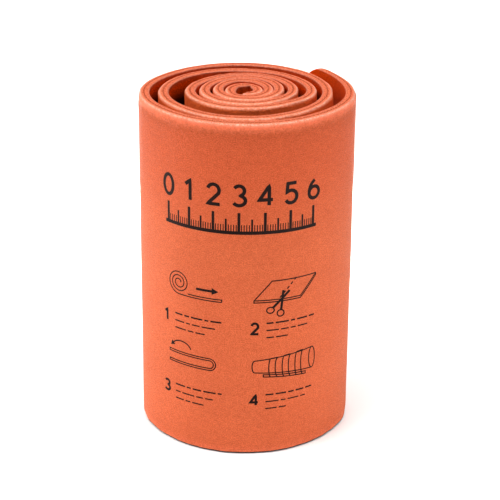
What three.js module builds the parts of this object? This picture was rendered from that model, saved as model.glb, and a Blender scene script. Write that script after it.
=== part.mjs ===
import * as THREE from 'three';

// Foam splint, rolled up and standing on its long edge. Millimetres, +Z up.
// The strip is two foam sheets bonded face to face, rolled into a loose spiral
// of about six and a half turns. The outer end stands off as a short free flap.

// Strip
const stripWidth = 140;          // the strip's width, which is the roll's height
const outerFoam = 2.0;           // the sheet on the outside of the roll
const innerFoam = 2.0;           // the sheet on the inside of the roll
const seamGap = 0.3;             // between the two sheets
const turnGap = 0.3;             // least room between one turn and the next
const outerEdgeRound = 1.0;      // on the long edges, on the outside of the roll
const innerEdgeRound = 0.5;      // on the long edges, on the inside of the roll

// Ends of the strip
const endCorner = 14;            // radius of the two corners at the outer end
const endTaper = 48;             // length over which the outer end thins out
const endThinning = 0.5;         // share of its thickness that the tip has lost
const coreHole = 0.6;            // nothing comes closer to the roll's centre

// Roll
const coreLift = 0.65;           // how far the first turn stands above the outer ones
const liftedTurns = 3;           // turns over which that lift fades out after the first
const outerSheetStart = -112;    // degrees from +X, where the outer sheet begins
const innerSheetStart = -80;     // degrees from +X, where the inner sheet begins
const stripEnd = 6 * 360 + 57;   // degrees from +X, where both sheets end
const flapBend = 6 * 360 - 7.5;  // degrees from +X, where the strip leaves the roll as a flap
const flapFlattening = 0.95;     // how far the flap runs inside an even curve, where it is most

// How the roll opens, as shares of the strip's thickness, seen from above.
// The start is the distance of the outer face from the centre. So is the first turn.
// Each later row is the step from the outer face of one turn to that of the next.
const startOfCore = { frontLeft: 0.62, front: 0.84, frontRight: 1.26 };
const directions = [
  'right', 'backRight', 'back', 'backLeft', 'left', 'frontLeft', 'front', 'frontRight',
];
const turns = [
  { right: 1.76, backRight: 2.12, back: 2.30, backLeft: 1.98,
    left: 1.66, frontLeft: 1.70, front: 1.86, frontRight: 2.28 },
  { right: 0.97, backRight: 1.00, back: 0.98, backLeft: 1.00,
    left: 1.08, frontLeft: 1.00, front: 0.95, frontRight: 0.91 },
  { right: 0.99, backRight: 1.02, back: 1.00, backLeft: 1.07,
    left: 1.24, frontLeft: 1.09, front: 0.96, frontRight: 1.00 },
  { right: 1.28, backRight: 1.11, back: 0.91, backLeft: 1.04,
    left: 1.30, frontLeft: 1.14, front: 1.02, frontRight: 1.07 },
  { right: 1.67, backRight: 1.35, back: 1.35, backLeft: 2.07,
    left: 2.40, frontLeft: 2.51, front: 2.72, frontRight: 2.46 },
  { right: 1.47, backRight: 1.61, back: 1.69, backLeft: 1.45,
    left: 1.73, frontLeft: 1.49, front: 1.35, frontRight: 1.66 },
  { right: 2.13, backRight: 2.02, back: 2.09 },
];

// Steps along the spiral
const degreesPerStep = 7.5;
const degreesPerEndStep = 2.5;   // finer over the rounded corners of the outer end
const roundCut = 1 - Math.SQRT1_2;  // share of a round that its middle point stands in

const foamColour = 0xe8714a;
const thickness = outerFoam + seamGap + innerFoam;
const degreesPerKnot = 360 / directions.length;
const firstKnot = -3 * degreesPerKnot;
const radians = Math.PI / 180;

// Distance of the strip's outer face from the centre, one value for each knot
function faceRadii() {
  const radii = Object.values(startOfCore).map((share) => share * thickness);
  const inside = Object.fromEntries(directions.map((direction) => [direction, 0]));
  for (const turn of turns) {
    for (const direction of directions) {
      if (turn[direction] === undefined) continue;
      inside[direction] += turn[direction] * thickness;
      radii.push(inside[direction]);
    }
  }
  return radii;
}

const radii = faceRadii();
const faceCurve = new THREE.SplineCurve(radii.map((r, knot) => new THREE.Vector2(knot, r)));

function faceRadius(degrees) {
  const knot = (degrees - firstKnot) / degreesPerKnot;
  const alongFlap = Math.max(0, degrees - flapBend) / (stripEnd - flapBend);
  const flattening = flapFlattening * Math.sin(Math.PI * alongFlap);
  return faceCurve.getPoint(knot / (radii.length - 1)).y - flattening;
}

// Length along the outer face from this angle to the strip's outer end, near that end
function lengthToEnd(degrees) {
  return (stripEnd - degrees) * radians * faceRadius(stripEnd);
}

// The strip's own thickness here: free, squeezed between two turns, or thinned at its end
function localThickness(degrees) {
  const face = faceRadius(degrees);
  const insideTurn = degrees - 360;
  const room = insideTurn < outerSheetStart
    ? face - coreHole
    : face - faceRadius(insideTurn) - turnGap;
  const thinned = Math.max(0, 1 - lengthToEnd(degrees) / endTaper) * endThinning;
  return Math.min(thickness * (1 - thinned), room);
}

// How far the strip's long edges are raised here, and how far the end corners cut in
function edgeLift(degrees) {
  const faded = (degrees - 360) / (360 * liftedTurns);
  return coreLift * (1 - THREE.MathUtils.clamp(faded, 0, 1));
}

function cornerCut(degrees) {
  const into = Math.max(0, endCorner - lengthToEnd(degrees));
  return endCorner - Math.sqrt(Math.max(0, endCorner ** 2 - into ** 2));
}

// One sheet's cross-section at an angle, as [distance from the centre, height] points.
// near is the face without rounded edges, far is the face with them.
function section(near, far, round, degrees) {
  const bottom = edgeLift(degrees) + cornerCut(degrees);
  const top = edgeLift(degrees) + stripWidth - cornerCut(degrees);
  const outward = Math.sign(far - near);
  const cut = Math.min(round, Math.abs(far - near));
  const points = [
    [near, bottom],
    [far - outward * cut, bottom],
    [far - outward * cut * roundCut, bottom + cut * roundCut],
    [far, bottom + cut],
    [far, top - cut],
    [far - outward * cut * roundCut, top - cut * roundCut],
    [far - outward * cut, top],
    [near, top],
  ];
  return outward > 0 ? points : points.reverse();
}

// The two sheets' shares of the strip's local thickness
function outerSheetSection(degrees) {
  const squeeze = (localThickness(degrees) - seamGap) / (thickness - seamGap);
  const face = faceRadius(degrees);
  return section(face - outerFoam * squeeze, face, outerEdgeRound * squeeze, degrees);
}

function innerSheetSection(degrees) {
  const squeeze = (localThickness(degrees) - seamGap) / (thickness - seamGap);
  const seam = faceRadius(degrees) - outerFoam * squeeze - seamGap;
  return section(seam, seam - innerFoam * squeeze, innerEdgeRound * squeeze, degrees);
}

// Angles of the sections, on whole steps that all turns share
function stepAngles(start) {
  const cornerStart = stripEnd - endCorner / faceRadius(stripEnd) / radians;
  const angles = [start];
  let next = (Math.floor(start / degreesPerStep) + 1) * degreesPerStep;
  for (; next < cornerStart; next += degreesPerStep) angles.push(next);
  next = stripEnd - Math.floor((stripEnd - cornerStart) / degreesPerEndStep) * degreesPerEndStep;
  for (; next < stripEnd; next += degreesPerEndStep) angles.push(next);
  angles.push(stripEnd);
  return angles;
}

// A closed solid swept through the sections
function sweep(sectionAt, start) {
  const rings = stepAngles(start).map((degrees) => {
    const angle = degrees * radians;
    return sectionAt(degrees).map(([r, z]) => [r * Math.cos(angle), r * Math.sin(angle), z]);
  });
  const corners = rings[0].length;
  const last = rings.length - 1;
  const faces = [];
  for (let ring = 0; ring < last; ring += 1) {
    for (let corner = 0; corner < corners; corner += 1) {
      const a = ring * corners + corner;
      const b = ring * corners + ((corner + 1) % corners);
      faces.push(a, a + corners, b);
      faces.push(b, a + corners, b + corners);
    }
  }
  for (let corner = 1; corner < corners - 1; corner += 1) {
    const endRing = last * corners;
    faces.push(0, corner, corner + 1);
    faces.push(endRing, endRing + corner + 1, endRing + corner);
  }
  const geometry = new THREE.BufferGeometry();
  geometry.setAttribute('position', new THREE.Float32BufferAttribute(rings.flat(2), 3));
  geometry.setIndex(faces);
  geometry.computeVertexNormals();
  return geometry;
}

function sheet(name, sectionAt, start) {
  const material = new THREE.MeshStandardMaterial({
    name: 'foam', color: foamColour, roughness: 0.75, metalness: 0,
  });
  const mesh = new THREE.Mesh(sweep(sectionAt, start), material);
  mesh.name = name;
  return mesh;
}

const splint = new THREE.Group();
splint.add(sheet('outer_foam', outerSheetSection, outerSheetStart));
splint.add(sheet('inner_foam', innerSheetSection, innerSheetStart));

// The origin is the middle of the roll's footprint, on the surface that it stands on
const box = new THREE.Box3().setFromObject(splint);
const middle = box.getCenter(new THREE.Vector3());
splint.position.set(-middle.x, -middle.y, -box.min.z);

export default splint;
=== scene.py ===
"""Rolled foam splint: fine foam sheets, print, floor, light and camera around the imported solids."""
import math
from typing import NamedTuple

import bpy
import numpy as np
from mathutils import Matrix, Vector, noise
from mathutils.bvhtree import BVHTree


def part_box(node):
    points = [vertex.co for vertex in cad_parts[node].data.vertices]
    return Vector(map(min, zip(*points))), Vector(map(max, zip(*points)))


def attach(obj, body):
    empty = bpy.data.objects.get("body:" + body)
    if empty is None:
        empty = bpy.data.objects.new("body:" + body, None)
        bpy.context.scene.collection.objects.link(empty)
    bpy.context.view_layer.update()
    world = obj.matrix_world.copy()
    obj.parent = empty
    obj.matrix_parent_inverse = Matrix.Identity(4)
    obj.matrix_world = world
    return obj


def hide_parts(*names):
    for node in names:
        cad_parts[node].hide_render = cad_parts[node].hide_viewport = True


MM = 0.001

# Strip, in millimetres. Its rounds differ a little from the solids'.
WIDTH = 140.0
THICKNESS = 4.3
OUTER_EDGE_ROUND = 1.3
INNER_EDGE_ROUND = 0.5
SEAM_ROUND = 0.11
START_ROUND_SHARE = 0.35
END_CORNER = 12.2
END_TAPER = 48.0
END_THINNING = 0.5
CORE_HOLE = 0.6
CORE_LIFT = 0.65
LIFTED_TURNS = 3
LIFT_FROM = 250
LIFT_REACH = 270

# Closer fit than the solids have
SEAM_GAP = 0.012
TURN_GAP = 0.06
SHEET = (THICKNESS - SEAM_GAP) / 2

# Where the strip runs, in degrees from +X
CORE_START = -69.0
CORE_FACE_START = -103.0
SOLID_END = 6 * 360 + 57.0
STRIP_END = SOLID_END - 1.5
FLAP_BEND = 6 * 360 - 7.5
FLAP_FLATTENING = 0.95

# The start is slanted across the strip's thickness: by this many degrees, over this length
CORE_SLANT = 68.0
SLANT_REACH = 16.0

# Where the first turn is pressed thinner: by what share, at what angle and how far around it
PRESSED = 0.15
PRESSED_AT = 245
PRESSED_REACH = 28

# The roll, as shares of the strip's thickness in eight directions from +X counter-clockwise
START_OF_CORE = (0.70, 0.94, 1.26)
TURNS = (
    (1.76, 2.12, 2.30, 1.98, 1.66, 1.70, 1.86, 2.28),
    (0.97, 1.00, 0.98, 1.00, 1.08, 1.00, 0.95, 0.91),
    (0.99, 1.02, 1.00, 1.07, 1.24, 1.09, 0.96, 1.00),
    (1.28, 1.11, 0.91, 1.04, 1.30, 1.14, 1.02, 1.07),
    (1.67, 1.35, 1.35, 2.07, 2.40, 2.51, 2.72, 2.46),
    (1.47, 1.61, 1.69, 1.45, 1.73, 1.49, 1.35, 1.66),
    (2.13, 2.02, 2.09),
)
FIRST_KNOT = -135.0
DEGREES_PER_KNOT = 45.0

# The solids' sections, which decide their box
CAD_FIRST_STEP = -105.0
CAD_STEP = 7.5


def rise(x, start, length):
    """0 up to the start, then evenly up to 1 over this length."""
    return np.clip((x - start) / length, 0, 1)


def fall(x, end, length):
    """1 until this length before the end, then evenly down to 0 at the end."""
    return np.clip((end - x) / length, 0, 1)


def hump(x, middle, reach):
    """A smooth hump, 1 high at its middle."""
    return np.exp(-(((x - middle) / reach) ** 2))


def face_knots():
    """Distances of the strip's outer face from the roll's centre, one for each knot."""
    inside = [0.0] * 8
    radii = [share * THICKNESS for share in START_OF_CORE]
    for turn in TURNS:
        for k, share in enumerate(turn):
            inside[k] += share * THICKNESS
            radii.append(inside[k])
    return np.array(radii)


KNOTS = face_knots()


def face_radius(degrees):
    """Distance of the strip's outer face from the roll's centre."""
    degrees = np.asarray(degrees, float)
    x = np.clip((degrees - FIRST_KNOT) / DEGREES_PER_KNOT, 0, len(KNOTS) - 1)
    i = np.minimum(x.astype(int), len(KNOTS) - 2)
    t = x - i
    p0, p1 = KNOTS[np.maximum(i - 1, 0)], KNOTS[i]
    p2, p3 = KNOTS[i + 1], KNOTS[np.minimum(i + 2, len(KNOTS) - 1)]
    smooth = 0.5 * (
        2 * p1
        + (p2 - p0) * t
        + (2 * p0 - 5 * p1 + 4 * p2 - p3) * t**2
        + (3 * p1 - p0 - 3 * p2 + p3) * t**3
    )
    along_flap = rise(degrees, FLAP_BEND, SOLID_END - FLAP_BEND)
    return smooth - FLAP_FLATTENING * np.sin(math.pi * along_flap)


def strip_thickness(degrees):
    """Free, squeezed between two turns, or thinned towards the outer end."""
    degrees = np.asarray(degrees, float)
    face = face_radius(degrees)
    inner_turn = degrees - 360
    room = np.where(
        inner_turn < CORE_FACE_START, face - CORE_HOLE, face - face_radius(inner_turn) - TURN_GAP
    )
    to_end = np.radians(STRIP_END - degrees) * face_radius(STRIP_END)
    thinned = np.clip(1 - to_end / END_TAPER, 0, 1) * END_THINNING
    pressed = PRESSED * hump(degrees, PRESSED_AT, PRESSED_REACH)
    return np.minimum(THICKNESS * (1 - thinned) * (1 - pressed), room)


def edge_lift(degrees):
    """How far the long edges are raised: not in the first turn, most in the second, then less."""
    risen = rise(degrees, LIFT_FROM, LIFT_REACH)
    risen = risen * risen * (3 - 2 * risen)
    faded = rise(degrees, 360, 360 * LIFTED_TURNS)
    return CORE_LIFT * risen * (1 - faded)


# Length along the middle of the strip against the angle, to a little past its end
ANGLE_STEP = 0.25
PAST_END = 4
ANGLES = np.arange(FIRST_KNOT, STRIP_END + PAST_END, ANGLE_STEP)
MID = face_radius(ANGLES) - strip_thickness(ANGLES) / 2
MID_XY = np.stack([MID * np.cos(np.radians(ANGLES)), MID * np.sin(np.radians(ANGLES))], 1)
LENGTHS = np.concatenate([[0], np.cumsum(np.linalg.norm(np.diff(MID_XY, axis=0), axis=1))])
LENGTHS -= np.interp(CORE_START, ANGLES, LENGTHS)
STRIP_LENGTH = float(np.interp(STRIP_END, ANGLES, LENGTHS))


def angle_at(length):
    return np.interp(length, LENGTHS, ANGLES)


def roll_centre(low, high):
    """Where the roll's centre is, so that the solids' box and this roll's agree."""
    steps = np.append(np.arange(CAD_FIRST_STEP, SOLID_END, CAD_STEP), SOLID_END)
    r, a = face_radius(steps), np.radians(steps)
    x, y = r * np.cos(a), r * np.sin(a)
    return (
        (low[0] + high[0]) / 2 / MM - (x.min() + x.max()) / 2,
        (low[1] + high[1]) / 2 / MM - (y.min() + y.max()) / 2,
    )


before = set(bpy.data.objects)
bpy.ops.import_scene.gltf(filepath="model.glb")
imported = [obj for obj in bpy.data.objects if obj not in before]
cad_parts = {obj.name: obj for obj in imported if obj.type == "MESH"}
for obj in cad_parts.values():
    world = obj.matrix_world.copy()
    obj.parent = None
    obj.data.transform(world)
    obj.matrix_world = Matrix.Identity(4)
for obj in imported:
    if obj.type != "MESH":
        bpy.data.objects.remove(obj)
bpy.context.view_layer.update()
CENTRE = roll_centre(*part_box("outer_foam"))


def waves(x, y, layer, seed, octaves):
    """Smooth noise from about -1 to 1 at the given points of a layer."""
    shift = Vector((seed * 17.31, seed * 5.17, seed * 11.9))
    points = np.stack([x, y, np.full_like(x, layer)], 1)
    return np.array([noise.fractal(Vector(p) + shift, 1.0, 2.0, octaves) for p in points])


# Steps across a cut edge: over the seam's round, on the flat, and over the edge's round
SEAM_STEPS = np.linspace(math.pi / 2, 0, 4)
FLAT_STEPS = (0.33, 0.67)
EDGE_STEPS = np.linspace(0, math.pi / 2, 7)

# Heights of the face rows, as depths from the nearer long edge
LOW_ROWS = (2.2, 4.0, 7.0, 11.0, 16.0, 22.0, 29.0, 37.0, 45.0, 53.5, 62.0)
HIGH_ROWS = (
    1.6, 2.3, 3.1, 4.0, 5.0, 6.2, 7.6, 9.4, 12.0, 15.5, 20.0, 25.5, 32.0, 39.0, 46.5, 54.5, 62.5,
)
ROW_SHARES = np.array(
    [d / WIDTH for d in LOW_ROWS] + [0.5] + [1 - d / WIDTH for d in reversed(HIGH_ROWS)]
)

# Sections along the strip: least and most length between two, and the turn that they follow
SHORTEST_STEP = 0.35
LONGEST_STEP = 0.95
STEP_TURN = math.radians(3.2)
CORNER_TURNS = np.linspace(0, math.pi / 2, 15)[1:]


def rim_profile(edge_round):
    """Points across one sheet's cut edge, from the seam to its face.

    Each is (depth from the face, depth from the edge).
    """
    flat_from = SHEET - SEAM_ROUND
    return np.array(
        [
            (SHEET - SEAM_ROUND * (1 - math.sin(a)), SEAM_ROUND * (1 - math.cos(a)))
            for a in SEAM_STEPS
        ]
        + [(flat_from + (edge_round - flat_from) * step, 0.0) for step in FLAT_STEPS]
        + [
            (edge_round * (1 - math.sin(a)), edge_round * (1 - math.cos(a)))
            for a in EDGE_STEPS
        ]
    )


def ring_lengths(last):
    """Lengths of the sections: close in the core, then about a millimetre apart."""
    out = [0.0]
    while out[-1] < last:
        radius = float(face_radius(angle_at(out[-1])))
        out.append(out[-1] + min(LONGEST_STEP, max(SHORTEST_STEP, radius * STEP_TURN)))
    out[-1] = last
    return out


def build_sheet(edge_round):
    """One foam sheet as a closed mesh in strip coordinates: length, height, depth from its face."""
    rim = rim_profile(edge_round)
    nr, nf = len(rim), len(ROW_SHARES)
    # Each loop runs: bottom rim seam to face, face rows up, top rim face to seam, seam rows down
    x = np.concatenate([rim[:, 0], np.zeros(nf), rim[::-1, 0], np.full(nf, SHEET)])
    d = np.concatenate([rim[:, 1], np.full(nf, rim[-1, 1]), rim[::-1, 1], np.full(nf, rim[0, 1])])
    share = np.concatenate([np.zeros(nr), ROW_SHARES, np.ones(nr), ROW_SHARES[::-1]])
    n = len(x)
    corner_from = STRIP_LENGTH - END_CORNER
    rows_s, rows_z = [], []
    for k, length in enumerate(ring_lengths(corner_from)):
        rows_s.append(length + (START_ROUND_SHARE * d if k == 0 else 0 * d))
        rows_z.append(d + share * (WIDTH - 2 * d))
    for turn in CORNER_TURNS:
        inset = END_CORNER - (END_CORNER - d) * math.cos(turn)
        rows_s.append(corner_from + (END_CORNER - d) * math.sin(turn))
        rows_z.append(inset + share * (WIDTH - 2 * inset))
    s, z = np.array(rows_s), np.array(rows_z)
    rings = len(s)
    verts = [np.stack([s, z, np.broadcast_to(x, s.shape)], -1).reshape(-1, 3)]
    faces = []
    for k in range(rings - 1):
        a = k * n
        for i in range(n):
            j = (i + 1) % n
            faces.append((a + i, a + j, a + n + j, a + n + i))

    def close_end(ring, flip):
        """The strip's end: lines from the bottom rim to the top rim across the thickness."""
        base = ring * n
        face_rows = [base + nr + i for i in range(nf)]
        seam_rows = [base + 2 * nr + nf + (nf - 1 - i) for i in range(nf)]
        columns = []
        made = sum(len(v) for v in verts)
        for i in range(nr):
            low, high = base + i, base + nr + nf + (nr - 1 - i)
            if i == 0:
                middle = seam_rows
            elif i == nr - 1:
                middle = face_rows
            else:
                start, end = verts[0][low], verts[0][high]
                verts.append(np.array([start + (end - start) * f for f in ROW_SHARES]))
                middle = list(range(made, made + nf))
                made += nf
            columns.append([low] + middle + [high])
        for left, right in zip(columns, columns[1:]):
            for i in range(nf + 1):
                quad = (left[i], left[i + 1], right[i + 1], right[i])
                faces.append(quad[::-1] if flip else quad)

    close_end(0, False)
    close_end(rings - 1, True)
    return np.concatenate(verts), faces


# Soft unevenness, in millimetres: its depth, and its lengths along and up the strip
SWELL, SWELL_LENGTH, SWELL_HEIGHT = 0.16, 34.0, 30.0
DENT, DENT_LENGTH, DENT_HEIGHT, DENT_SLANT = 0.34, 4.2, 3.0, 9.0
DENT_LEVEL = 0.25
DENT_RISE = 1.0
DENT_BAND = 8.0
EDGE_WAVE, EDGE_WAVE_LENGTH, EDGE_WAVES_ACROSS = 0.08, 9.0, 1.5
FINE_WAVE, FINE_WAVE_LENGTH, FINE_WAVE_DEPTH = 0.06, 1.7, 1.2
EDGE_BAND = 1.6
FACE_BAND = 3.0

# Gap between two turns where nothing presses on the foam, and what counts where there is no turn
FREE_GAP = 3.0
GAP_OUTSIDE = 4.0
GAP_IN_CORE = 1.0

# The first turn's inner face: depth in millimetres, angle and reach in degrees
CREASE, CREASE_AT, CREASE_REACH = 1.5, 67, 8
BULGE, BULGE_AT, BULGE_REACH = 0.95, 138, 28


def wind(strip, outside):
    """Places of strip points in the roll, and their (length, height, depth) in the whole strip."""
    s, z, x = strip.T
    base = angle_at(s)
    local = strip_thickness(base)
    squeeze = (local - SEAM_GAP) / (THICKNESS - SEAM_GAP)
    depth = x * squeeze if outside else local - x * squeeze
    across = depth / local
    near_start = fall(s, SLANT_REACH, SLANT_REACH) ** 2
    degrees = base + CORE_SLANT * (across - 0.5) * near_start
    face = face_radius(degrees)
    if outside:
        outer_turn = degrees + 360
        gap = face_radius(outer_turn) - strip_thickness(outer_turn) - face
        gap = np.where(outer_turn > STRIP_END, GAP_OUTSIDE, gap)
    else:
        inner_turn = degrees - 360
        gap = face - local - face_radius(inner_turn)
        gap = np.where(inner_turn < CORE_FACE_START, GAP_IN_CORE, gap)
    free = rise(gap, 0, FREE_GAP)
    face_share = 1 - x / SHEET
    in_edge = np.minimum(z, WIDTH - z)
    swell = SWELL * waves(s / SWELL_LENGTH, z / SWELL_HEIGHT, 0, 1, 2)
    radius = face - depth + swell * free * face_share * rise(in_edge, 0, FACE_BAND)
    if outside:
        # Shallow dents just under the long edges, where nothing presses on them
        dents = waves(s / DENT_LENGTH + z / DENT_SLANT, z / DENT_HEIGHT, 21, 4, 2) - DENT_LEVEL
        band = rise(in_edge, 0, DENT_RISE) * fall(in_edge, DENT_BAND, DENT_BAND)
        radius = radius + DENT * dents * band * free
    else:
        crease = CREASE * hump(degrees, CREASE_AT, CREASE_REACH)
        bulge = BULGE * hump(degrees, BULGE_AT, BULGE_REACH)
        radius = radius + (crease - bulge) * face_share
    # The upper cut edge is a little uneven, and the lower one stands flat on the floor
    uneven = EDGE_WAVE * waves(s / EDGE_WAVE_LENGTH, across * EDGE_WAVES_ACROSS, 4, 2, 3)
    uneven = uneven + FINE_WAVE * waves(s / FINE_WAVE_LENGTH, depth / FINE_WAVE_DEPTH, 9, 3, 2)
    near_top = fall(in_edge, EDGE_BAND, EDGE_BAND) * (z > WIDTH / 2)
    height = z + edge_lift(degrees) + near_top * uneven
    a = np.radians(degrees)
    xyz = np.stack([radius * np.cos(a) + CENTRE[0], radius * np.sin(a) + CENTRE[1], height], 1)
    return xyz * MM, np.stack([s, z, depth], 1)


def mesh_object(name, verts, faces, material, smooth):
    mesh = bpy.data.meshes.new(name)
    mesh.from_pydata(verts.tolist(), [], faces)
    mesh.validate()
    mesh.polygons.foreach_set("use_smooth", [smooth] * len(mesh.polygons))
    mesh.materials.append(material)
    obj = bpy.data.objects.new(name, mesh)
    bpy.context.scene.collection.objects.link(obj)
    return obj


def add_attribute(obj, name, values, kind="FLOAT", field="value"):
    layer = obj.data.attributes.new(name, kind, "POINT")
    layer.data.foreach_set(field, np.asarray(values, np.float32).ravel())


def add_strip_attribute(obj, values):
    """Each point's place in the strip, which the materials' patterns follow."""
    add_attribute(obj, "strip", values, "FLOAT_VECTOR", "vector")


class Nodes:
    """A small helper that makes shader nodes and links them."""

    def __init__(self, material):
        material.use_nodes = True
        self.tree = material.node_tree
        self.tree.nodes.clear()

    def add(self, kind, inputs=None, **settings):
        node = self.tree.nodes.new(kind)
        for key, value in settings.items():
            setattr(node, key, value)
        for key, value in (inputs or {}).items():
            self.feed(node.inputs[key], value)
        return node

    def feed(self, socket, value):
        if isinstance(value, bpy.types.NodeSocket):
            self.tree.links.new(value, socket)
        else:
            socket.default_value = value

    def attribute(self, key, output="Fac"):
        return self.add("ShaderNodeAttribute", attribute_name=key).outputs[output]

    def texture(self, vector, scale, detail, roughness=0.5, distortion=0.0):
        """Noise of this many waves a millimetre."""
        settings = {"Vector": vector, "Scale": scale, "Detail": detail,
                    "Roughness": roughness, "Distortion": distortion}
        return self.add("ShaderNodeTexNoise", settings).outputs["Fac"]

    def math(self, operation, a, b, clamp=False):
        node = self.add("ShaderNodeMath", {0: a, 1: b}, operation=operation, use_clamp=clamp)
        return node.outputs[0]

    def ramp(self, value, low, high, to_low=0.0, to_high=1.0, kind="SMOOTHSTEP"):
        node = self.add(
            "ShaderNodeMapRange",
            {"Value": value, "From Min": low, "From Max": high,
             "To Min": to_low, "To Max": to_high},
            interpolation_type=kind,
        )
        return node.outputs[0]

    def mix(self, factor, a, b):
        node = self.add("ShaderNodeMix", {0: factor, 6: a, 7: b}, data_type="RGBA")
        return node.outputs[2]

    def bump(self, height, strength, depth, under=None):
        """Relief of this depth in millimetres, on top of the relief under it."""
        inputs = {"Height": height, "Strength": strength, "Distance": depth * MM}
        if under:
            inputs["Normal"] = under
        return self.add("ShaderNodeBump", inputs).outputs[0]

    def surface(self, base, roughness, ior, gloss, normal):
        shader = self.add(
            "ShaderNodeBsdfPrincipled",
            {"Base Color": base, "Roughness": roughness, "IOR": ior, "Specular IOR Level": gloss,
             "Normal": normal},
        )
        self.add("ShaderNodeOutputMaterial", {"Surface": shader.outputs[0]})


class Skin(NamedTuple):
    """Colours of one sheet's face and edges."""

    low: tuple     # darker specks of its skin
    high: tuple    # lighter specks of its skin
    cut: tuple     # darker grain of its cut edge
    painted_light: tuple     # painted light on its face high up in a gap and on the inside of the flap
    wear_and_highlight: float   # how strongly its edges take the worn band with its painted highlight, and the crest's painted highlight


OUTER_SKIN = Skin(
    low=(0.47, 0.100, 0.034, 1),
    high=(0.77, 0.214, 0.088, 1),
    cut=(0.72, 0.150, 0.055, 1),
    painted_light=(1.0, 0.235, 0.070, 1),
    wear_and_highlight=1.0,
)
INNER_SKIN = Skin(
    low=(0.54, 0.092, 0.026, 1),
    high=(0.72, 0.148, 0.054, 1),
    cut=(0.70, 0.142, 0.052, 1),
    painted_light=(0.84, 0.116, 0.005, 1),
    wear_and_highlight=0.42,
)
CUT_GRAIN = (1.0, 0.345, 0.190, 1)
# Edge wear with a painted highlight, along the cut edges
WORN_AND_HIGHLIGHT = (0.98, 0.275, 0.14, 1)
# Painted highlight on the crest of the edge's round
CREST_HIGHLIGHT = (1.0, 0.60, 0.45, 1)
# Painted shade deep in the gaps between the turns, near black where deepest
GAP_SHADE_LOW = (0.56, 0.056, 0.001, 1)
GAP_SHADE_HIGH = (0.98, 0.135, 0.002, 1)
DEEP_GAP_SHADE = (0.035, 0.003, 0.001, 1)
GLUE = (0.42, 0.050, 0.005, 1)

# Tints: painted shade on the skin towards the top, and the darker grain of the painted light
PAINTED_TOP_SHADE = (0.91, 0.69, 0.56, 1)
PAINTED_LIGHT_GRAIN = (0.84, 0.84, 0.84, 1)

# Depths of the relief, in millimetres
LEATHER_RELIEF = 0.42
TORN_RELIEF = 0.36
CRUMPLED_RELIEF = 0.85

PLAIN_GLOSS = 0.24
CREST_GLOSS = 0.66
HIDDEN_GLOSS_LOSS = 0.22
FOAM_IOR = 1.5


def tinted(colour, tint):
    return tuple(value * share for value, share in zip(colour, tint))


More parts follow.
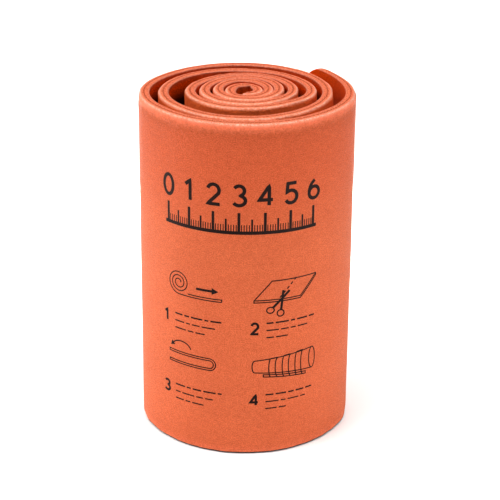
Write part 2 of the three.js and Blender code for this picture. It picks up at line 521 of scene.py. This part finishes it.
def foam_material(name, skin):
    """Closed-cell foam: a fine leathery skin, a grainier cut edge and a brown glue line, with painted
    shade, painted light and painted highlights.
    """
    material = bpy.data.materials.new(name)
    n = Nodes(material)
    strip = n.attribute("strip", "Vector")
    is_cut, is_edge, is_crest, from_seam, painted_gap_shade, within, painted_light_mask = (
        n.attribute(key) for key in ("cut", "edge", "crest", "seam", "painted_gap_shade", "within", "painted_light")
    )
    height = n.add("ShaderNodeSeparateXYZ", {0: strip}).outputs[1]
    below_top = n.math("SUBTRACT", WIDTH, height)
    fine = n.texture(strip, 1.9, 4.0, 0.7)
    grain = n.texture(strip, 1.6, 3.0, 0.9)
    mottle = n.texture(strip, 0.5, 4.0, 0.6)
    patches = n.texture(strip, 0.045, 2.0, 0.6)
    speckle = n.texture(strip, 2.2, 2.0, 0.85)
    crinkle = n.texture(strip, 0.62, 4.0, 0.65, 0.8)
    pores = n.texture(strip, 1.3, 3.0, 0.75)

    # Skin: specks and broad patches, with painted shade towards the top and painted light high in the
    # gaps and inside the flap
    tone = n.math(
        "ADD",
        n.ramp(mottle, 0.30, 0.70, 0.0, 0.18),
        n.ramp(speckle, 0.36, 0.64, 0.0, 0.82, "LINEAR"),
    )
    base = n.mix(tone, skin.low, skin.high)
    base = n.mix(n.ramp(patches, 0.35, 0.65, 0.0, 0.14), base, skin.low)
    painted_shade = n.mix(tone, tinted(skin.low, PAINTED_TOP_SHADE), tinted(skin.high, PAINTED_TOP_SHADE))
    base = n.mix(n.ramp(below_top, 14.0, 56.0, 0.62, 0.0), base, painted_shade)
    # Painted light: a brighter colour high up in the gaps and on the inside of the flap
    painted_light = n.mix(n.ramp(grain, 0.38, 0.62), tinted(skin.painted_light, PAINTED_LIGHT_GRAIN), skin.painted_light)
    base = n.mix(painted_light_mask, base, painted_light)

    # Cut edges: their grain, the worn band beside them, which is edge wear with a painted highlight,
    # and the painted highlight on the crest
    base = n.mix(is_cut, base, n.mix(n.ramp(grain, 0.42, 0.58), skin.cut, CUT_GRAIN))
    wear_and_highlight_reach = n.math("ADD", is_edge, n.ramp(crinkle, 0.35, 0.65, -0.14, 0.14, "LINEAR"))
    worn = n.math("MULTIPLY", n.ramp(wear_and_highlight_reach, 0.02, 0.92), 0.90 * skin.wear_and_highlight)
    base = n.mix(worn, base, WORN_AND_HIGHLIGHT)
    painted_crest_highlight = n.ramp(grain, 0.43, 0.56, 0.22 * skin.wear_and_highlight, skin.wear_and_highlight)
    base = n.mix(n.math("MULTIPLY", is_crest, painted_crest_highlight), base, CREST_HIGHLIGHT)

    # Painted shade in the gaps between the turns, and the porous glue line
    gap_shade = n.mix(n.ramp(grain, 0.40, 0.60), GAP_SHADE_LOW, GAP_SHADE_HIGH)
    base = n.mix(painted_gap_shade, base, n.mix(within, gap_shade, DEEP_GAP_SHADE))
    seam_reach = n.math("ADD", from_seam, n.ramp(pores, 0.35, 0.65, -0.18, 0.36, "LINEAR"))
    in_seam = n.math("MULTIPLY", n.ramp(seam_reach, 0.08, 0.58, 1.0, 0.0), 0.70)
    base = n.mix(in_seam, base, GLUE)

    # Relief
    leather = n.add(
        "ShaderNodeTexVoronoi",
        {"Vector": strip, "Scale": 1.25, "Randomness": 1.0, "Smoothness": 0.5},
        feature="SMOOTH_F1",
    ).outputs["Distance"]
    leathery = n.math("ADD", n.math("MULTIPLY", leather, 0.5), fine)
    torn = n.math("MULTIPLY", n.math("MAXIMUM", is_cut, is_edge), 0.9)
    crinkled = n.ramp(below_top, 2.0, 13.0, 1.0, 0.10)
    relief = n.bump(leathery, 1.0, LEATHER_RELIEF)
    relief = n.bump(grain, torn, TORN_RELIEF, relief)
    relief = n.bump(crinkle, crinkled, CRUMPLED_RELIEF, relief)

    # Gloss
    rough = n.math("ADD", n.ramp(fine, 0.3, 0.7, 0.46, 0.62), n.math("MULTIPLY", is_edge, -0.10))
    hidden = n.math("MAXIMUM", n.math("MAXIMUM", painted_gap_shade, painted_light_mask), in_seam)
    gloss = n.math(
        "SUBTRACT",
        n.ramp(is_crest, 0.0, 1.0, PLAIN_GLOSS, CREST_GLOSS),
        n.math("MULTIPLY", hidden, HIDDEN_GLOSS_LOSS),
        clamp=True,
    )
    n.surface(base, rough, FOAM_IOR, gloss, relief)
    return material


class Look(NamedTuple):
    """Where one sheet's rim and face change their look.

    Lengths are in millimetres and depths run from the sheet's face. A pair is where a change
    begins and how far it reaches.
    """

    outside: bool
    edge_round: float
    cut_from: float       # share of the sheet's depth where its rim is plainly cut
    wear_and_highlight_reach: float     # how far down its face the worn edge and its painted highlight reach
    wear_and_highlight_loss: float      # how much of that is lost where the next turn covers it
    crest: tuple          # depth of the middle of the crest's painted highlight, and its reach
    painted_gap_shade: tuple         # depth below the edge where its face takes the gaps' painted shade
    dark: tuple           # depth below the edge where that painted shade turns dark
    narrow_dark: tuple    # the same in the core's narrow gaps


OUTSIDE = Look(
    outside=True,
    edge_round=OUTER_EDGE_ROUND,
    cut_from=0.50,
    wear_and_highlight_reach=4.6,
    wear_and_highlight_loss=3.2,
    crest=(0.62, 0.44),
    painted_gap_shade=(5.0, 9.0),
    dark=(12.0, 18.0),
    narrow_dark=(12.0, 18.0),
)
INSIDE = Look(
    outside=False,
    edge_round=INNER_EDGE_ROUND,
    cut_from=0.12,
    wear_and_highlight_reach=0.8,
    wear_and_highlight_loss=0.0,
    crest=(0.20, 0.26),
    painted_gap_shade=(0.25, 1.2),
    dark=(2.6, 5.6),
    narrow_dark=(0.5, 2.0),
)

# Angles, in degrees from +X: the last turn that another covers, and the core's narrow gaps
COVERED_UNTIL = STRIP_END - 386
COVERED_FADE = 30
FLAP_FADE = 20
CORE_NARROW_UNTIL, CORE_NARROW_FADE = 70, 30
NARROW_FROM, NARROW_RISE = 290, 60
NARROW_UNTIL, NARROW_FADE = 1180, 160

# Shares of a sheet's depth: where its face ends, where the painted contact shadow along the foot
# ends, and how soon the cut grain sets in
FACE_PART = 0.9
CONTACT_SHADOW_PART = 0.6
CUT_FADE = 0.2

# Share of the edge's round that takes the painted crest highlight, and of the worn band with its
# painted highlight that the lower edge has
ROUND_PART = 0.99
LOWER_EDGE_WEAR_AND_HIGHLIGHT = 0.45

# In millimetres from the edge: the rim, the painted contact shadow along the foot, the part with
# painted light and the seam's reach
RIM_BAND = 0.6
CONTACT_SHADOW_BAND, CONTACT_SHADOW_FADE = 1.0, 0.3
PAINTED_LIGHT_BAND, PAINTED_LIGHT_FADE = 14, 8
SEAM_BAND = 1.5
FAR_FROM_SEAM = 5.0


def make_sheet(name, node, look, material):
    """One foam sheet of the roll, with what its material reads at each point."""
    strip, faces = build_sheet(look.edge_round)
    verts, local = wind(strip, look.outside)
    obj = mesh_object(name, verts, faces, material, True)
    s, z, x = strip.T
    turned = angle_at(s)
    in_edge = np.minimum(z, WIDTH - z)
    low_half = z < WIDTH / 2
    across = x / SHEET
    on_flap = rise(turned, FLAP_BEND - FLAP_FADE, FLAP_FADE)
    covered = fall(turned, COVERED_UNTIL, COVERED_FADE) if look.outside else 1.0

    cut = rise(across, look.cut_from, CUT_FADE) * (in_edge < RIM_BAND)
    on_face = (across < FACE_PART) * (1 - cut)
    # The worn band is edge wear with a painted highlight, shorter where the next turn covers it
    wear_and_highlight_reach = look.wear_and_highlight_reach - look.wear_and_highlight_loss * covered
    worn = fall(in_edge, wear_and_highlight_reach, wear_and_highlight_reach) * on_face
    # The crest of the edge's round carries a painted highlight
    crest = hump(x, *look.crest) * (in_edge < look.edge_round * ROUND_PART)
    # Painted light: high up in the gaps on the outer sheet, inside the flap on the inner sheet
    painted_light = covered * fall(in_edge, PAINTED_LIGHT_BAND, PAINTED_LIGHT_FADE) if look.outside else on_flap

    # Inside the roll the faces take painted shade that darkens with depth, and soonest in the core's
    # narrow gaps
    narrow = np.maximum(
        fall(turned, CORE_NARROW_UNTIL, CORE_NARROW_FADE),
        rise(turned, NARROW_FROM, NARROW_RISE) * fall(turned, NARROW_UNTIL, NARROW_FADE),
    )
    dark = (wide + (close - wide) * narrow for wide, close in zip(look.dark, look.narrow_dark))
    within = rise(in_edge, *dark) * (1 - on_flap)
    painted_gap_shade = rise(in_edge, *look.painted_gap_shade) * covered * (across < FACE_PART) * (1 - on_flap)
    # On the outside of the roll the last of the lower edge is painted as dark as a deep gap: a
    # painted contact shadow
    contact_shadow = fall(in_edge, CONTACT_SHADOW_BAND, CONTACT_SHADOW_FADE) * low_half * (across < CONTACT_SHADOW_PART) * look.outside

    add_strip_attribute(obj, local)
    add_attribute(obj, "cut", cut)
    # The edge attribute carries edge wear with a painted highlight
    add_attribute(obj, "edge", worn * np.where(low_half, LOWER_EDGE_WEAR_AND_HIGHLIGHT, 1.0))
    add_attribute(obj, "crest", crest)
    add_attribute(obj, "painted_light", painted_light * on_face)
    # Painted shade in the gaps, and the painted contact shadow
    add_attribute(obj, "within", np.maximum(within, contact_shadow))
    add_attribute(obj, "painted_gap_shade", np.maximum(painted_gap_shade, contact_shadow))
    add_attribute(obj, "seam", np.where(in_edge < SEAM_BAND, SHEET - x, FAR_FROM_SEAM))
    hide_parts(node)
    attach(obj, "root")
    return obj


outer = make_sheet("outer_sheet", "outer_foam", OUTSIDE, foam_material("outer_skin", OUTER_SKIN))
make_sheet("inner_sheet", "inner_foam", INSIDE, foam_material("inner_skin", INNER_SKIN))


# Print: lines on the outer face, u millimetres to the right of the front and z millimetres up
FRONT = 5 * 360 + 270.0
PRINT_REACH = 110
PRINT_ANGLES = np.arange(FRONT - PRINT_REACH, FRONT + PRINT_REACH, 0.5)
PRINT_XY = np.stack(
    [face_radius(PRINT_ANGLES) * f(np.radians(PRINT_ANGLES)) for f in (np.cos, np.sin)], 1
)
PRINT_U = np.concatenate([[0], np.cumsum(np.linalg.norm(np.diff(PRINT_XY, axis=0), axis=1))])
PRINT_U -= np.interp(FRONT, PRINT_ANGLES, PRINT_U)
INK_PROUD = 0.045
INK_SUNK = 0.02
OUTSIDE_THE_ROLL = 60
LONGEST_INK_STEP = 0.8

# Widths of the strokes
THIN, TEXT, BOLD, HEAVY = 0.42, 0.50, 0.95, 1.35
FIRST_LINE = 0.62
ARROW_TIP = 0.12


def arc(x, y, rx, ry, start, stop, steps=14):
    """Points of an ellipse's arc, angles in degrees."""
    turns = np.radians(np.linspace(start, stop, steps))
    return [(x + rx * math.cos(a), y + ry * math.sin(a)) for a in turns]


# Plain figures in a box 0.62 wide and 1 high
FIGURES = {
    0: [arc(0.31, 0.5, 0.29, 0.5, 90, 450, 24)],
    1: [[(0.10, 0.78), (0.36, 1.0), (0.36, 0.0)]],
    2: [arc(0.31, 0.70, 0.28, 0.30, 165, -30) + [(0.03, 0.0), (0.62, 0.0)]],
    3: [arc(0.29, 0.75, 0.25, 0.25, 150, -90) + arc(0.29, 0.25, 0.30, 0.25, 90, -150)],
    4: [[(0.46, 0.0), (0.46, 1.0), (0.0, 0.28), (0.64, 0.28)]],
    5: [[(0.56, 1.0), (0.12, 1.0), (0.08, 0.56)] + arc(0.29, 0.32, 0.30, 0.32, 125, -150)],
    6: [arc(0.62, 0.34, 0.60, 0.66, 118, 180, 8) + arc(0.31, 0.30, 0.29, 0.30, 180, 540, 20)],
}


def figure(digit, x, y, tall, width):
    return [([(x + u * tall, y + v * tall) for u, v in path], width) for path in FIGURES[digit]]


def arrow(points, width, head=2.6):
    """A line with a filled head at its last point."""
    (x0, y0), (x1, y1) = points[-2], points[-1]
    reach = math.hypot(x1 - x0, y1 - y0)
    dx, dy = (x1 - x0) / reach, (y1 - y0) / reach
    tip = (x1 + dx * head, y1 + dy * head)
    return [(points, width), ([(x1, y1), tip], (head * 1.1, ARROW_TIP))]


WORD_SPACE = 0.9


def dashes(x, y, words, width):
    """A ruled line broken up as a line of words is."""
    out = []
    for word in words:
        out.append(([(x, y), (x + word, y)], width))
        x += word + WORD_SPACE
    return out


# The scale: its left end and height on the roll, its length, what its line has beyond that, its
# numbers' place and height, and its marks by their spacing
SCALE_LEFT = -31.0
SCALE_BASE = 96.5
SCALE_CM = 6
SCALE_BEYOND = 1.5
NUMBERS_LEFT = 2.3
NUMBERS_UP = 11.2
NUMBERS_TALL = 8.0
MARKS = ((10, 8.2, 1.05), (5, 5.6, 0.7), (1, 3.3, 0.36))


def measuring_scale():
    """A plain centimetre scale."""
    right = SCALE_LEFT + SCALE_CM * 10
    ends = [(SCALE_LEFT - SCALE_BEYOND, SCALE_BASE), (right + SCALE_BEYOND, SCALE_BASE)]
    out = [(ends, HEAVY)]
    for mm in range(SCALE_CM * 10 + 1):
        tall, width = next((tall, width) for every, tall, width in MARKS if mm % every == 0)
        x = SCALE_LEFT + mm
        out.append(([(x, SCALE_BASE), (x, SCALE_BASE + tall)], width))
    for cm in range(SCALE_CM + 1):
        x = SCALE_LEFT + cm * 10 - NUMBERS_LEFT
        out += figure(cm, x, SCALE_BASE + NUMBERS_UP, NUMBERS_TALL, HEAVY)
    return out


def unrolling():
    spiral = []
    for degrees in range(0, 991, 18):
        radius, a = 1.0 + degrees / 240, math.radians(degrees)
        spiral.append((8 + radius * math.cos(a), 8 + radius * math.sin(a)))
    sole = spiral[-1][1]
    strokes = [(spiral + [(26.5, sole)], THIN)]
    strokes.append(([(12.2, sole + 1.0), (26.5, sole + 1.0), (26.5, sole)], THIN))
    return strokes + arrow([(16.0, sole + 4.2), (22.5, sole + 4.2)], BOLD)


def cutting():
    strokes = [([(1, 4), (20, 4), (27, 12), (8, 12), (1, 4)], THIN)]
    strokes.append(([(1, 4), (1, 3.1), (20, 3.1), (27, 11.1), (27, 12)], THIN))
    for k in range(5):
        x, y = 11.2 + k * 1.5, 4.6 + k * 1.7
        strokes.append(([(x, y), (x + 0.8, y + 0.9)], TEXT))
    strokes.append(([(8.6, 0.7), (15.2, 7.2)], BOLD))
    strokes.append(([(11.8, -0.6), (12.6, 7.6)], BOLD))
    strokes.append((arc(7.5, -0.4, 1.5, 1.3, 0, 360, 20), TEXT))
    strokes.append((arc(11.6, -2.0, 1.4, 1.4, 0, 360, 20), TEXT))
    return strokes


def folding():
    fold = [(3.0, 9.2)] + arc(21.5, 6.6, 2.6, 2.6, 90, -90) + [(3.0, 4.0)]
    within = [(3.0, 4.9)] + arc(21.5, 6.6, 1.7, 1.7, -90, 90) + [(3.0, 8.3)]
    strokes = [(fold + within + [(3.0, 9.2)], THIN), ([(3.0, 4.0), (3.0, 4.9)], THIN)]
    return strokes + arrow(arc(9.0, 10.8, 4.5, 3.2, 10, 150, 12), TEXT, 2.0)


def wrapping():
    strokes = [([(1.5, 4.2), (26, 2.4)], THIN), ([(1.5, 9.4), (26, 11.6)], THIN)]
    strokes.append((arc(26, 7.0, 1.5, 4.6, 0, 360, 26), THIN))
    strokes.append((arc(1.5, 6.8, 1.0, 2.6, 90, 270, 12), THIN))
    strokes.append(([(5.0, 3.2), (23.0, 1.6), (23.0, 0.6), (5.0, 2.2), (5.0, 3.2)], THIN))
    for x, low, high in ((8.0, 1.9, 10.1), (13.5, 1.4, 10.7), (19.0, 0.9, 11.3)):
        middle, reach = (low + high) / 2, (high - low) / 2
        strokes.append((arc(x, middle, 0.9, reach, 90, 270, 14), THIN))
        strokes.append((arc(x + 2.6, middle, 0.9, reach, 90, 270, 14), THIN))
        strokes.append(([(x, high), (x + 2.6, high + 0.2)], THIN))
    return strokes


# The steps: each one's place on the roll, picture, and lengths of the words under it
STEPS = (
    ((-34, 51.5), unrolling,
     ((3.6, 2.2, 5.0, 1.6, 4.4), (4.4, 1.8, 3.4, 5.6), (5.2, 2.6, 4.0))),
    ((4, 51.5), cutting,
     ((2.8, 5.4, 1.8, 4.6, 2.6), (5.0, 3.2, 2.2, 4.4), (3.0, 4.8))),
    ((-34, 20), folding,
     ((4.6, 1.8, 3.8, 5.2, 1.6), (2.4, 5.6, 3.0, 3.2), (4.0, 2.2, 5.0))),
    ((4, 20), wrapping,
     ((3.2, 4.4, 2.4, 3.6, 3.0), (5.4, 2.0, 4.8, 2.2), (4.6, 3.0))),
)
PICTURE_UP = 12.5
STEP_NUMBER_UP = 2.2
STEP_NUMBER_TALL = 4.6
WORDS_RIGHT = 6.0
WORDS_UP = 6.6
LINE_SPACE = 3.1


def step_pictures():
    """Four numbered steps in two columns, each with a picture and ruled lines under it."""
    out = []
    for number, ((u, z), picture, words) in enumerate(STEPS, 1):
        for points, width in picture():
            out.append(([(u + x, z + PICTURE_UP + y) for x, y in points], width))
        out += figure(number, u, z + STEP_NUMBER_UP, STEP_NUMBER_TALL, BOLD)
        for row, line in enumerate(words):
            width = FIRST_LINE if row == 0 else TEXT
            out += dashes(u + WORDS_RIGHT, z + WORDS_UP - row * LINE_SPACE, line, width)
    return out


def resampled(points, widths):
    """The line with points close enough to follow the roll, and its width at each."""
    points = np.array(points, float)
    steps = np.linalg.norm(np.diff(points, axis=0), axis=1)
    along = np.concatenate([[0], np.cumsum(steps)])
    parts = [
        np.linspace(a, b, max(2, math.ceil((b - a) / LONGEST_INK_STEP) + 1))
        for a, b in zip(along, along[1:]) if b > a
    ]
    stops = np.unique(np.concatenate(parts))
    line = np.stack([np.interp(stops, along, points[:, k]) for k in (0, 1)], 1)
    return line, np.interp(stops, (0, along[-1]), np.broadcast_to(widths, 2).astype(float))


def ribbon(points, widths):
    """Left and right sides of a stroke, square at its ends and mitred at its bends."""
    line, width = resampled(points, widths)
    step = np.diff(line, axis=0)
    step /= np.linalg.norm(step, axis=1)[:, None]
    normals = np.stack([-step[:, 1], step[:, 0]], 1)
    before, after = np.vstack([normals[:1], normals]), np.vstack([normals, normals[-1:]])
    closed = np.linalg.norm(line[0] - line[-1]) < 1e-6
    if closed:
        before[0], after[-1] = normals[-1], normals[0]
    middle = before + after
    size = np.maximum(np.sum(middle**2, axis=1), 1.0)
    middle = middle * (2 / size)[:, None]
    return line + middle * width[:, None] / 2, line - middle * width[:, None] / 2


def make_print(name, strokes, tree, material):
    """Strokes as thin closed slabs of ink on the foam's face."""
    verts, faces, flat = [], [], []
    for points, widths in strokes:
        left, right = ribbon(points, widths)
        start, count = len(verts), len(left)
        for a, b in zip(left, right):
            for u, z in (a, b):
                angle = math.radians(float(np.interp(u, PRINT_U, PRINT_ANGLES)))
                out = Vector((math.cos(angle), math.sin(angle), 0))
                middle = Vector((CENTRE[0], CENTRE[1], z)) * MM
                place, normal, _, _ = tree.ray_cast(middle + out * OUTSIDE_THE_ROLL * MM, -out)
                verts.append(place + normal * INK_PROUD * MM)
                verts.append(place - normal * INK_SUNK * MM)
                flat += [(u, z, 0.0)] * 2
        for k in range(count - 1):
            a, b = start + k * 4, start + k * 4 + 4
            faces += [(a, a + 2, b + 2, b), (a + 1, b + 1, b + 3, a + 3)]
            faces += [(a, b, b + 1, a + 1), (a + 2, a + 3, b + 3, b + 2)]
        end = start + (count - 1) * 4
        faces += [(start, start + 1, start + 3, start + 2), (end, end + 2, end + 3, end + 1)]
    obj = mesh_object(name, np.array(verts), faces, material, False)
    add_strip_attribute(obj, flat)
    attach(obj, "root")


INK = (0.013, 0.0035, 0.002, 1)
WORN_INK = (0.09, 0.015, 0.006, 1)
INK_RELIEF = 0.08
INK_IOR = 1.45
INK_GLOSS = 0.25


def ink_material():
    material = bpy.data.materials.new("dark_ink")
    n = Nodes(material)
    strip = n.attribute("strip", "Vector")
    wear = n.texture(strip, 2.2, 4.0, 0.7)
    drift = n.texture(strip, 0.12, 2.0)
    worn = n.ramp(n.math("ADD", wear, n.ramp(drift, 0.3, 0.7, -0.06, 0.06)), 0.56, 0.74)
    rough = n.ramp(wear, 0.3, 0.7, 0.5, 0.68)
    relief = n.bump(wear, 0.5, INK_RELIEF)
    n.surface(n.mix(worn, INK, WORN_INK), rough, INK_IOR, INK_GLOSS, relief)
    return material


face_tree = BVHTree.FromPolygons(
    [v.co for v in outer.data.vertices], [p.vertices for p in outer.data.polygons]
)
ink = ink_material()
make_print("front_scale", measuring_scale(), face_tree, ink)
make_print("front_pictures", step_pictures(), face_tree, ink)


# Floor, in metres
FLOOR_HALF = 3.0
FLOOR_COLOUR = (0.93, 0.93, 0.93, 1)


def floor_material():
    material = bpy.data.materials.new("pale_floor")
    n = Nodes(material)
    shader = n.add(
        "ShaderNodeBsdfPrincipled",
        {"Base Color": FLOOR_COLOUR, "Roughness": 0.6, "Specular IOR Level": 0.2},
    )
    n.add("ShaderNodeOutputMaterial", {"Surface": shader.outputs[0]})
    return material


def make_floor():
    corners = np.array([(-1, -1, 0), (1, -1, 0), (1, 1, 0), (-1, 1, 0)]) * FLOOR_HALF
    mesh_object("floor", corners, [(0, 1, 2, 3)], floor_material(), False)


make_floor()


# Light
def turned_to(direction):
    """The rotation that shines a light this way."""
    return Vector(direction).to_track_quat("-Z", "Y").to_euler()


def area_light(name, place, target, size, power):
    data = bpy.data.lights.new(name, "AREA")
    data.shape = "RECTANGLE"
    data.size, data.size_y = size
    data.energy = power
    obj = bpy.data.objects.new(name, data)
    obj.location = place
    obj.rotation_euler = turned_to(Vector(target) - Vector(place))
    obj.visible_camera = False
    bpy.context.scene.collection.objects.link(obj)


def broad_light(name, source, spread, strength):
    """A far soft light from this direction, spread over this many degrees."""
    data = bpy.data.lights.new(name, "SUN")
    data.angle = math.radians(spread)
    data.energy = strength
    obj = bpy.data.objects.new(name, data)
    obj.rotation_euler = turned_to(-Vector(source))
    bpy.context.scene.collection.objects.link(obj)


# Broad lights: where from, spread in degrees and strength
BROAD_LIGHTS = (
    ("overhead_light", (0, 0, 1), 70, 2.70),
    ("upper_left_light", (-0.7, -0.2, 0.73), 50, 1.86),
    ("upper_right_light", (0.7, -0.2, 0.73), 50, 0.96),
    ("back_light", (0, 1, 0.3), 50, 0.30),
    ("front_light", (0, -0.6, 0.95), 50, 0.08),
)
for light in BROAD_LIGHTS:
    broad_light(*light)

# Low cards around the base, which brighten the lower half: place, width and power
CARD_HEIGHT = 0.03
CARD_TALL = 0.05
CARD_TARGET = (0, 0, 0.035)
LOW_CARDS = (
    ("left_card", -0.26, 0.0, 0.30, 0.28),
    ("right_card", 0.26, 0.0, 0.30, 0.05),
    ("back_card", 0.0, 0.25, 0.30, 0.33),
    ("front_left_card", -0.19, -0.19, 0.20, 0.05),
    ("front_right_card", 0.19, -0.19, 0.20, 0.21),
)
for card, x, y, wide, power in LOW_CARDS:
    area_light(card, (x, y, CARD_HEIGHT), CARD_TARGET, (wide, CARD_TALL), power)

scene = bpy.context.scene
world = bpy.data.worlds.new("studio")
scene.world = world
world.use_nodes = True
background = world.node_tree.nodes["Background"]
background.inputs["Color"].default_value = (1, 1, 1, 1)
background.inputs["Strength"].default_value = 0.02

scene.view_settings.view_transform = "Standard"
scene.view_settings.look = "None"
scene.view_settings.exposure = 0.0
scene.view_settings.gamma = 0.8


# Camera: focal length as a share of the frame's width, distance and aim in millimetres
PITCH = math.radians(24.35)
ROLL = math.radians(-0.54)
FOCAL_SHARE = 3.54
SENSOR = 36.0
DISTANCE = 718.0
AIM = (3.28, 4.7, 70.2)


def make_camera():
    ahead = Vector((0, math.cos(PITCH), -math.sin(PITCH)))
    up = Vector((0, math.sin(PITCH), math.cos(PITCH)))
    right = Vector((1, 0, 0))
    own_right = math.cos(ROLL) * right - math.sin(ROLL) * up
    own_up = math.sin(ROLL) * right + math.cos(ROLL) * up
    aim = Vector((AIM[0] + CENTRE[0], AIM[1] + CENTRE[1], AIM[2])) * MM
    place = aim - ahead * DISTANCE * MM
    data = bpy.data.cameras.new("camera")
    data.sensor_width = SENSOR
    data.lens = SENSOR * FOCAL_SHARE
    obj = bpy.data.objects.new("camera", data)
    turn = Matrix((own_right, own_up, -ahead)).transposed()
    obj.matrix_world = Matrix.Translation(place) @ turn.to_4x4()
    scene.collection.objects.link(obj)
    scene.camera = obj


make_camera()
